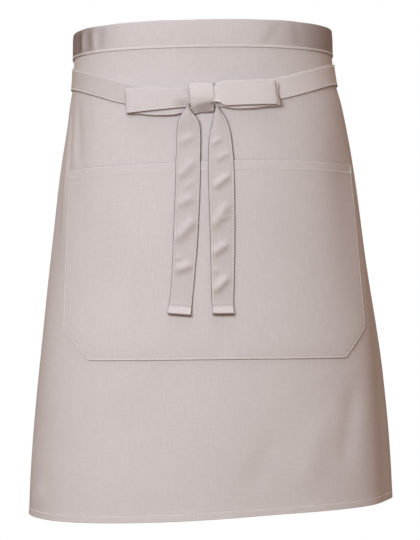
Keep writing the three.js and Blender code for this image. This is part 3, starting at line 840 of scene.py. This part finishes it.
class Strap:
    """A flat tie along stations of arc, z, out and width, worked out as a fine double cloth."""

    # How far ahead and back it looks for its direction, its longest mesh step, and the shares
    # of its half width at which mesh lines run along it
    LOOK = 0.5 * MM
    STEP = 2.2 * MM
    ACROSS = np.array([0, 0.2, 0.4, 0.58, 0.7, 0.78, 0.83, 0.88, 0.94, 0.985, 1])

    def __init__(self, stations, width_way, creases=None, hem=0.0, ring=False, ripple=0.0, tent=None):
        self.stations = np.array(stations, float)
        steps = np.linalg.norm(np.diff(self.stations[:, :3], axis=0), axis=1)
        self.run = np.concatenate([[0], np.cumsum(steps)])
        self.width_way = np.array(width_way, float)
        self.creases = creases
        self.hem = hem
        self.ring = ring
        self.ripple = ripple
        self.tent = tent
        # A function of run and share of width that paints light and shade into the colour, or None
        self.tone = None

    def read(self, t, columns):
        """Columns of the stations at runs t."""
        return np.stack([along(self.run, self.stations[:, k], t) for k in columns], axis=-1)

    def surface(self, t, w, side):
        """Points at a run t and a share w of the half width, on a side: 1, -1 or 0 between."""
        middle = self.read(t, (0, 1, 2))
        travel = self.read(t + self.LOOK, (0, 1, 2)) - self.read(np.maximum(t - self.LOOK, 0), (0, 1, 2))
        travel /= np.linalg.norm(travel, axis=-1, keepdims=True)
        across = self.width_way - travel * (travel @ self.width_way)[..., None]
        across /= np.linalg.norm(across, axis=-1, keepdims=True)
        facing = np.cross(across, travel)
        reach = self.read(t, (3,))[..., 0] / 2
        edge = (1 - np.abs(w)) * reach
        left = self.run[-1] - t
        half = TIE_THICKNESS / 2 + 0.12 * MM * (1 - w * w)
        rounding = rim(edge, half)
        if self.hem:
            half = half + 0.5 * MM * (1 - smooth(-0.6 * MM, 0.6 * MM, left - self.hem))
            rounding = np.minimum(rounding, rim(left, half / 2))
        sewn = np.abs(edge - TIE_INSET)
        if self.hem:
            sewn = np.minimum(sewn, np.abs(left - self.hem + 1 * MM))
        thick = half * rounding - groove(sewn)
        lift = seam_pucker(t, sewn, 0.1 * MM) * np.sign(w + 1e-9)
        lift = lift + self.ripple * uneven((t + 0.35 * w * reach) / (9 * MM), 1.3)
        place_at = middle + across * (w * reach)[..., None] + facing * (side * thick)[..., None]
        if self.creases is not None:
            lift = lift + (1 - w ** 4) * creased(self.creases, place_at[..., 0], place_at[..., 1])
        if self.tent is not None:
            lift = lift + self.tent(t, w)
        place_at[..., 2] += lift
        return place_at

    def shell(self):
        """The strap's cloth, with its wear and its painted light and shade."""
        closed = [] if self.ring else [*CLOSE[1:4], *(self.run[-1] - CLOSE[1:4])]
        count = math.ceil(self.run[-1] / self.STEP)
        plain = np.linspace(0, self.run[-1], count + 1)
        marks = self.run[:-1] if self.ring else self.run
        t = np.sort(np.concatenate([plain[:-1] if self.ring else plain, closed, marks]))
        t = t[np.concatenate([[True], np.diff(t) > 0.3 * MM])][:, None]
        w = np.concatenate([-self.ACROSS[:0:-1], self.ACROSS])[None, :]
        t, w = np.broadcast_arrays(t, w)
        outer, inner = (self.surface(t, w, side) for side in (1, -1))
        uv = np.stack([t, w * self.stations[:, 3].max() / 2], axis=-1)
        edge = (1 - np.abs(w)) * self.read(t, (3,))[..., 0] / 2
        # Painted shade darkens its rows of stitches and its rim; where it runs level, its upper rim, lit
        # from above, hardly darkens
        shaded = 1.7 - 1.5 * self.width_way[1] * smooth(-0.2, 0.2, w)
        seam = wear_and_painted_light(edge, np.abs(edge - TIE_INSET), worn_and_painted_light=0.4, row_wear_and_painted_shade=-0.22, shaded=shaded)
        # Painted light on the creases: paler where they tilt the cloth up, and painted shade where they
        # tilt it down
        if self.creases is not None:
            arc, z = outer[..., 0], outer[..., 1]
            slope = creased(self.creases, arc, z - MM) - creased(self.creases, arc, z + MM)
            seam = seam + 0.14 * slope / MM
        if self.tone is not None:
            seam = seam + self.tone(t, w)
        return Shell(strap_points(outer), strap_points(inner), uv, seam, self.ring)

    def sew(self, threads, start, end):
        """Edge stitching down both sides and on both faces, between two runs."""
        t = fine(start, end)
        for edge_way in (-1, 1):
            reach = self.read(t, (3,))[..., 0] / 2
            self.row(threads, t, edge_way * (1 - TIE_INSET / reach))

    def row(self, threads, t, w):
        """A row of stitches on both faces, at runs t and shares w of the half width."""
        core = strap_points(self.surface(t, w, 0))
        for side in (-1, 1):
            line = strap_points(self.surface(t, w, side))
            threads.row(line, line - core)


def ply_out(ply):
    """How far off the form a ply of the bow lies."""
    return CLOTH + GAP + TIE_THICKNESS / 2 + ply * PLY


def station(aside, rise, out, wide):
    """A strap's station beside and above the middle of the knot, with its share of the width."""
    return KNOT_OFFSET + aside, -KNOT_DROP + rise, out, wide * TIE_WIDTH


UPRIGHT = (0, 1, 0)
SIDEWAYS = (1, 0, 0)


def tie_stations(name, side):
    """A tie from its sewn root behind, round the waist, across the knot and through its loop."""
    root_height = BAND_HEIGHT / 2
    around = girth.length(root_height)
    passing = -RUN[name][0] * KNOT_DROP
    over = PLY + LIFT if side < 0 else 0
    resting = CLOTH + LIFT + TIE_THICKNESS / 2
    root_out = BAND_FACE + GAP + TIE_THICKNESS / 2
    root_arc = side * (around - HALF_PANEL)
    back = [
        (root_arc + side * ROOT_LAP, root_height, root_out, TIE_WIDTH),
        (root_arc, root_height, root_out, TIE_WIDTH),
        (side * around / 2, 0, resting + over, TIE_WIDTH),
        (side * HALF_PANEL, passing, resting, TIE_WIDTH),
    ]
    ahead = side * around / 2 - KNOT_OFFSET
    run = [
        (KNOT_OFFSET + share * ahead, -low * KNOT_DROP, resting, wide * TIE_WIDTH)
        for share, low, wide in zip(RUN["around"], RUN[name], RUN["wide"])
    ]
    knot_out = ply_out(0) + (FUSED * TIE_THICKNESS if side < 0 else PLY)
    crossing = [
        station(-side * aside * TIE_WIDTH, rise * TIE_WIDTH, knot_out, wide)
        for aside, rise, wide in zip(*CROSSING[name].values())
    ]
    loop = [
        station(-side * out * LOOP_REACH, rise * TIE_WIDTH, ply_out(ply), wide)
        for out, rise, ply, wide in zip(*LOOPS[name].values())
    ]
    return [*back, *run, *crossing, *loop]


def tail_stations(name, side):
    """A tie's hanging tail, from under its loop's front leaf."""
    leaf = LOOPS[name]["ply"][-1]
    resting = POCKET_FACE + LIFT + TIE_THICKNESS / 2
    root_out = ply_out(leaf) + (0 if side < 0 else FUSED * TIE_THICKNESS)
    root = station(-side * TAIL_SEAM * TIE_WIDTH, 0, root_out, TAILS[name]["wide"][0])
    return [root] + [
        station(aside * TIE_WIDTH, -down * TAIL_LENGTH, resting + ply * PLY, wide)
        for down, aside, ply, wide in zip(*TAILS[name].values())
    ]


def wrap_stations():
    """The strip round the knot, which ends where it begins."""
    rows = [
        station(aside * TIE_WIDTH, rise * KNOT_HEIGHT, ply_out(ply), wide)
        for rise, aside, ply, wide in zip(*WRAP.values())
    ]
    return [*rows, rows[0]]


def tail_tent(t, w):
    """A tail's middle stands proud where the knot gathers it, and its sides fall away."""
    return 2.2 * MM * (1 - 1.2 * w * w) * near(t - 14 * MM, 22 * MM)


def strap_painted_light(side, past_knot, home, w):
    """Painted light on a tie: the left one is painted paler in its loop and a little darker elsewhere,
    the right one paler on its way to the knot.

    home is how far a place lies before the loop's end, where the right one has painted shade in a dent.
    """
    looped = smooth(-40 * MM, 0, past_knot)
    if side < 0:
        return 0.55 * looped - 0.12
    dent = near(home - 20 * MM, 9 * MM) * smooth(0.4, -0.5, w)
    return 0.5 - 0.4 * looped - 0.45 * dent


def tail_painted_light(left, w):
    """Painted light on a tail: its turned end is painted paler, and painted shade darkens its row of
    stitches, its very end, its left edge and a little all over.
    """
    hem = 0.6 * (1 - smooth(-0.6 * MM, 0.6 * MM, left - TAIL_HEM))
    row = 0.5 * near(left - TAIL_HEM, 0.9 * MM)
    return hem - row - 0.1 - 0.4 * smooth(0.9, 1, -w) - 2 * (1 - smooth(0.8 * MM, 2.4 * MM, left))


def wrap_painted_light(t, w):
    """Painted light on the knot's strip: painted paler above, and painted shade where it turns in below.
    """
    below = t - KNOT_HEIGHT * 0.62 + 3 * MM * w
    return 0.5 - 1.1 * smooth(0, 7 * MM, below) * (1 - 0.4 * np.abs(w) ** 3)


def tie(name, side, finish, thread):
    """One tie, with its loop and its tail; the left one also wraps the knot."""
    strap = Strap(tie_stations(name, side), UPRIGHT, ripple=0.12 * MM)
    loop_rows = len(LOOPS[name]["out"])
    knot = strap.run[-loop_rows]
    tail = Strap(
        tail_stations(name, side), SIDEWAYS, creases=TAIL_CREASES[name], hem=TAIL_HEM,
        ripple=0.2 * MM, tent=tail_tent,
    )
    # Painted light and shade on the tie and its tail
    strap.tone = lambda t, w: strap_painted_light(side, t - knot, strap.run[-1] - t, w)
    tail.tone = lambda t, w: tail_painted_light(tail.run[-1] - t, w)
    parts = [strap, tail]
    if side < 0:
        wrap = Strap(wrap_stations(), SIDEWAYS, ring=True)
        wrap.tone = wrap_painted_light
        parts.append(wrap)
    cloth = piece(f"tie_{name}", [part.shell() for part in parts], finish, f"{name}_tie")

    # No row of stitches runs where the knot gathers and hides the cloth
    rows = Threads()
    strap.sew(rows, 2 * MM, strap.run[-loop_rows - 3])
    strap.sew(rows, strap.run[-loop_rows + 1], strap.run[-3])
    tail.sew(rows, tail.run[4], tail.run[-1] - 1.5 * MM)
    across = np.linspace(-0.8, 0.8, 30)
    tail.row(rows, np.full_like(across, tail.run[-1] - TAIL_HEM + 1 * MM), across)
    piece(f"tie_{name}_stitching", [rows.shell()], thread)


class Wire:
    """A socket's value in a sum: an operator adds the Math node that works it out."""

    def __init__(self, dye, socket):
        self.dye = dye
        self.socket = socket

    def math(self, operation, *values):
        return self.dye.add("ShaderNodeMath", {"operation": operation}, dict(enumerate(values)))

    def __add__(self, other):
        return self.math("ADD", self, other)

    def __sub__(self, other):
        return self.math("SUBTRACT", self, other)

    def __mul__(self, other):
        return self.math("MULTIPLY", self, other)

    def __radd__(self, other):
        return self.math("ADD", other, self)

    def __rsub__(self, other):
        return self.math("SUBTRACT", other, self)

    def __rmul__(self, other):
        return self.math("MULTIPLY", other, self)

    def sine(self):
        return self.math("SINE", self)


class Dye:
    """A finish in the making: a material whose nodes are added one by one."""

    def __init__(self, name):
        self.material = bpy.data.materials.new(name)
        self.material.use_nodes = True
        self.tree = self.material.node_tree
        self.tree.nodes.clear()

    def add(self, kind, settings=None, values=None, out=0):
        """A node of a type, with its settings first, then the values or links of its sockets."""
        node = self.tree.nodes.new(kind)
        for key, value in (settings or {}).items():
            setattr(node, key, value)
        for key, value in (values or {}).items():
            if isinstance(value, Wire):
                self.tree.links.new(value.socket, node.inputs[key])
            else:
                node.inputs[key].default_value = value
        return Wire(self, node.outputs[out])

    def blend(self, share, first, second):
        """One colour mixed into another."""
        colour = lambda value: value if isinstance(value, Wire) else (*value, 1)
        return self.add(
            "ShaderNodeMix", {"data_type": "RGBA"}, {0: share, 6: colour(first), 7: colour(second)}, 2
        )

    def surface(self, colour, rough, bump, shine):
        """The material, with its shader and its output."""
        values = {"Base Color": colour, "Roughness": rough, "Normal": bump, "Specular IOR Level": shine}
        self.add_output(self.add("ShaderNodeBsdfPrincipled", {}, values))
        return self.material

    def add_output(self, shader):
        """The material's output, which shows a shader."""
        node = self.tree.nodes.new("ShaderNodeOutputMaterial")
        self.tree.links.new(shader.socket, node.inputs["Surface"])


# The colour of painted shade: what cloth in shade keeps of its red, green and blue, which makes it
# browner
SHADED_SHARES = (0.34, 0.26, 0.235)

# How fast a yarn's shade changes across it and along it
ACROSS_YARN = 900
ALONG_YARN = 60


def twill(name, shade, rib=0.9 * MM):
    """Cotton twill: slanting ribs of short floats, uneven yarn, fine fuzz, a cloudy dye, and wear and
    painted light and shade from the cloth's vertex values.
    """
    pale = tuple(min(1.16 * part + 0.01, 1) for part in shade)
    painted_shade_colour = tuple(share * part for share, part in zip(SHADED_SHARES, shade))
    dye = Dye(name)
    cloth = dye.add("ShaderNodeUVMap", {"uv_map": "cloth"})
    apart = lambda k: dye.add("ShaderNodeSeparateXYZ", {}, {0: cloth}, k)
    u, v = apart(0), apart(1)
    turn = 2 * math.pi
    ribs = 0.5 + 0.5 * ((u + 0.62 * v) * (turn / rib)).sine()
    floats = 0.5 + 0.5 * ((v - 0.2 * u) * (turn / (0.6 * rib))).sine()
    place_in = dye.add("ShaderNodeTexCoord", out=3)
    noise = lambda scale, detail: dye.add(
        "ShaderNodeTexNoise", {}, {"Vector": place_in, "Scale": scale, "Detail": detail}
    )
    fuzz = noise(2600, 2)
    slub = noise(380, 3)
    cloud = noise(11, 4)
    weave = ribs * (0.72 + 0.28 * floats) + 0.35 * fuzz
    worn_and_painted_light = dye.add("ShaderNodeAttribute", {"attribute_name": "seam"}, out=2)
    across = dye.add("ShaderNodeCombineXYZ", {}, {0: u * ALONG_YARN, 1: v * ACROSS_YARN})
    upright = dye.add("ShaderNodeCombineXYZ", {}, {0: u * ACROSS_YARN, 1: v * ALONG_YARN})
    yarn = lambda place: dye.add("ShaderNodeTexNoise", {}, {"Vector": place, "Scale": 1.0, "Detail": 2})
    yarns = 0.5 * yarn(across) + 0.5 * yarn(upright)
    # From 0 to 1 as the yarn is paler: a middling value, then what each kind of unevenness adds
    tone = 0.42 + 0.3 * (cloud - 0.5) + 0.75 * (yarns - 0.5) + 0.16 * (weave - 0.6) + 0.3 * (slub - 0.5)
    spun = dye.blend(tone, tuple(0.84 * part for part in shade), pale)
    # The cloth's vertex values paint wear and light: above 0 paler, as wear and painted highlight, below
    # 0 towards the painted shade colour
    colour = dye.blend(0 - worn_and_painted_light, dye.blend(worn_and_painted_light, spun, pale), painted_shade_colour)
    relief = weave + 0.8 * slub
    bump = dye.add("ShaderNodeBump", {}, {"Strength": 0.55, "Distance": 0.09 * MM, "Height": relief})
    return dye.surface(colour, 0.78 + 0.16 * fuzz, bump, 0.25)


def spun_thread(name, shade):
    """Twisted sewing thread, smoother than the cloth."""
    dye = Dye(name)
    place_in = dye.add("ShaderNodeTexCoord", out=3)
    twist = dye.add("ShaderNodeTexNoise", {}, {"Vector": place_in, "Scale": 3000, "Detail": 1})
    darker = tuple(0.9 * part for part in shade)
    bump = dye.add("ShaderNodeBump", {}, {"Strength": 0.3, "Distance": 0.05 * MM, "Height": twist})
    return dye.surface(dye.blend(twist, darker, shade), 0.6 + 0.15 * twist, bump, 0.3)


# The camera: its place on a circle round the apron, its height and its lens
CAMERA_AROUND = math.radians(-5.5)
CAMERA_DISTANCE = 2.0
CAMERA_HEIGHT = -0.252
CAMERA_LENS = 111.1

# The lamps. A name, degrees round from the front and up from level, distance, size, power, colour
LAMPS = [
    ("key", -23, 15, 3.0, 1.5, 67, (0.79, 0.93, 1)),
    ("top", 0, 80, 3.0, 1.8, 22, (0.7, 0.87, 1)),
    ("back", 178, 20, 3.2, 1.2, 40, (1, 1, 1)),
]

# The weak warm light from all round, and the white room
FILL_COLOUR = (1, 0.71, 0.54, 1)
FILL_STRENGTH = 0.36
FLOOR_LEVEL = -0.62
WALL_REACH = 6.0


def camera():
    """The camera, level, facing the axis that the apron hangs round."""
    data = bpy.data.cameras.new("camera")
    data.lens = CAMERA_LENS
    data.sensor_width = 36
    thing = new_object("camera", data)
    side, front = math.sin(CAMERA_AROUND), math.cos(CAMERA_AROUND)
    thing.location = (CAMERA_DISTANCE * side, -CAMERA_DISTANCE * front, CAMERA_HEIGHT)
    thing.rotation_euler = (math.pi / 2, 0, CAMERA_AROUND)
    bpy.context.scene.camera = thing


def light(name, around, rise, distance, size, power, shade):
    """A soft lamp that faces the apron."""
    data = bpy.data.lights.new(name, "AREA")
    data.shape = "DISK"
    data.size = size
    data.energy = power
    data.color = shade
    thing = new_object(name, data)
    turn, up = math.radians(around), math.radians(rise)
    way = Vector((math.sin(turn) * math.cos(up), -math.cos(turn) * math.cos(up), math.sin(up)))
    thing.location = way * distance + Vector((0, 0, CAMERA_HEIGHT))
    thing.rotation_euler = way.to_track_quat("Z", "Y").to_euler()
    thing.visible_camera = False


def studio():
    """A white floor and round wall that shine evenly, soft lamps, and a weak warm fill."""
    dye = Dye("studio_white")
    dye.add_output(dye.add("ShaderNodeEmission", {}, {"Color": (1, 1, 1, 1), "Strength": 1.0}))
    middle = (0, 0, FLOOR_LEVEL)
    bpy.ops.mesh.primitive_circle_add(vertices=96, radius=WALL_REACH, fill_type="NGON", location=middle)
    floor = bpy.context.object
    floor.name = "floor"
    bpy.ops.mesh.primitive_cylinder_add(
        vertices=96, radius=WALL_REACH, depth=12, end_fill_type="NGON", location=middle
    )
    wall = bpy.context.object
    wall.name = "round_wall"
    for thing in (floor, wall):
        thing.data.materials.append(dye.material)
        thing.visible_diffuse = False
        thing.visible_glossy = False
        thing.visible_shadow = False
    world = bpy.data.worlds.new("fill")
    world.use_nodes = True
    background = world.node_tree.nodes["Background"]
    background.inputs["Color"].default_value = FILL_COLOUR
    background.inputs["Strength"].default_value = FILL_STRENGTH
    bpy.context.scene.world = world
    for lamp in LAMPS:
        light(*lamp)
    view = bpy.context.scene.view_settings
    view.view_transform = "Standard"
    view.look = "None"


CLOTH_SHADE = (0.65, 0.578, 0.567)
THREAD_SHADE = (0.95, 0.92, 0.9)

camera()
studio()
thread = spun_thread("sewing_thread", THREAD_SHADE)
skirt_finish = twill("skirt_twill", CLOTH_SHADE)
pocket_finish = twill("pocket_twill", CLOTH_SHADE)
band_finish = twill("band_twill", CLOTH_SHADE)
tie_finish = twill("tie_twill", CLOTH_SHADE, 0.7 * MM)

skirt(skirt_finish, thread)
waist_band(band_finish, thread)
pocket(pocket_finish, thread)
tie("right", 1, tie_finish, thread)
tie("left", -1, tie_finish, thread)
